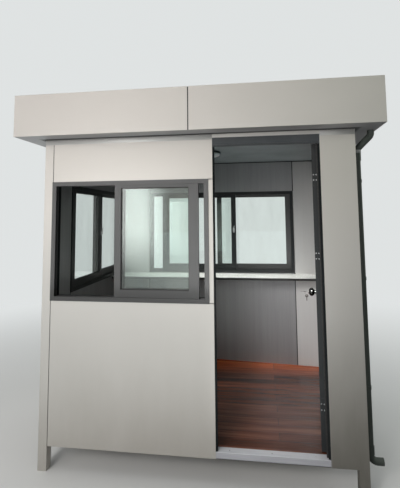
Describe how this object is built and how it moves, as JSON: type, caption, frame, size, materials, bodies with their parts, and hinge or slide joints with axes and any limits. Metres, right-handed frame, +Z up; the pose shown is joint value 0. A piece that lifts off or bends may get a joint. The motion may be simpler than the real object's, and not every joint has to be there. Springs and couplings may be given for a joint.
{
  "type": "security guard booth",
  "caption": "Panelled guard booth on short legs, with sliding windows, a hinged door standing open, a counter, a boxed fascia roof edge and a downspout.",
  "frame": {"origin": "on the ground under the middle of the plan", "axes": "+Z up, -Y towards the front with the door, +X to the right seen from the front"},
  "size_m": [2.29, 1.77, 2.377],
  "materials": {
    "cladding": "satin metallic grey composite panel",
    "post_metal": "satin silver paint",
    "base_steel": "dull dark primer",
    "deck_board": "rough cement board",
    "floor_vinyl": "red-brown wood-look sheet, glossy",
    "sill_metal": "brushed",
    "window_aluminium": "dark grey powder coat",
    "glass": "clear float glass, faint green",
    "hinge_steel": "brushed",
    "knob_steel": "satin",
    "counter_top": "pale laminate",
    "lamp": "opal plastic, unlit",
    "ceiling": "glossy grey panel",
    "soffit_panel": "grey sheet",
    "roof_steel": "coated steel sheet",
    "zinc": "zinc-grey primer",
    "pipe_plastic": "dark grey pipe"
  },
  "bodies": {
    "booth": {"back_fascia": "cladding", "back_lower_panel": "cladding", "back_piers": "cladding", "back_upper_panel": "cladding", "back_window_frame": "window_aluminium", "back_window_sashes": "window_aluminium", "base_frame": "base_steel", "ceiling_light": "lamp", "ceiling_panel": "ceiling", "corner_posts": "post_metal", "counter": "counter_top", "door_frame": "window_aluminium", "door_head_strip": "cladding", "door_threshold": "sill_metal", "downspout": "pipe_plastic", "downspout_clips": "zinc", "fascia_brackets": "zinc", "fascia_ring": "zinc", "floor_covering": "floor_vinyl", "floor_deck": "deck_board", "frame_hinges": "hinge_steel", "front_fascia": "cladding", "front_lower_panel": "cladding", "front_mullion": "cladding", "front_pier": "cladding", "front_upper_panel": "cladding", "front_window_frame": "window_aluminium", "front_window_sashes": "window_aluminium", "gutter": "zinc", "left_fascia": "cladding", "left_lower_panel": "cladding", "left_piers": "cladding", "left_upper_panel": "cladding", "left_window_frame": "window_aluminium", "left_window_sashes": "window_aluminium", "right_fascia": "cladding", "right_lower_panel": "cladding", "right_piers": "cladding", "right_upper_panel": "cladding", "right_window_frame": "window_aluminium", "right_window_sashes": "window_aluminium", "roof_purlins": "zinc", "roof_sheet": "roof_steel", "soffit": "soffit_panel", "window_glass": "glass"},
    "door": {"door_leaf": "window_aluminium", "door_lower_panel": "cladding", "door_glass": "glass", "leaf_hinges": "hinge_steel", "door_knob": "knob_steel"}
  },
  "joints": [
    {"name": "door_swing", "type": "hinge", "parent": "booth", "child": "door", "pos_m": [0.7845, -0.676, 1.1], "axis": [0, 0, 1], "range_deg": [0, 98]}
  ]
}
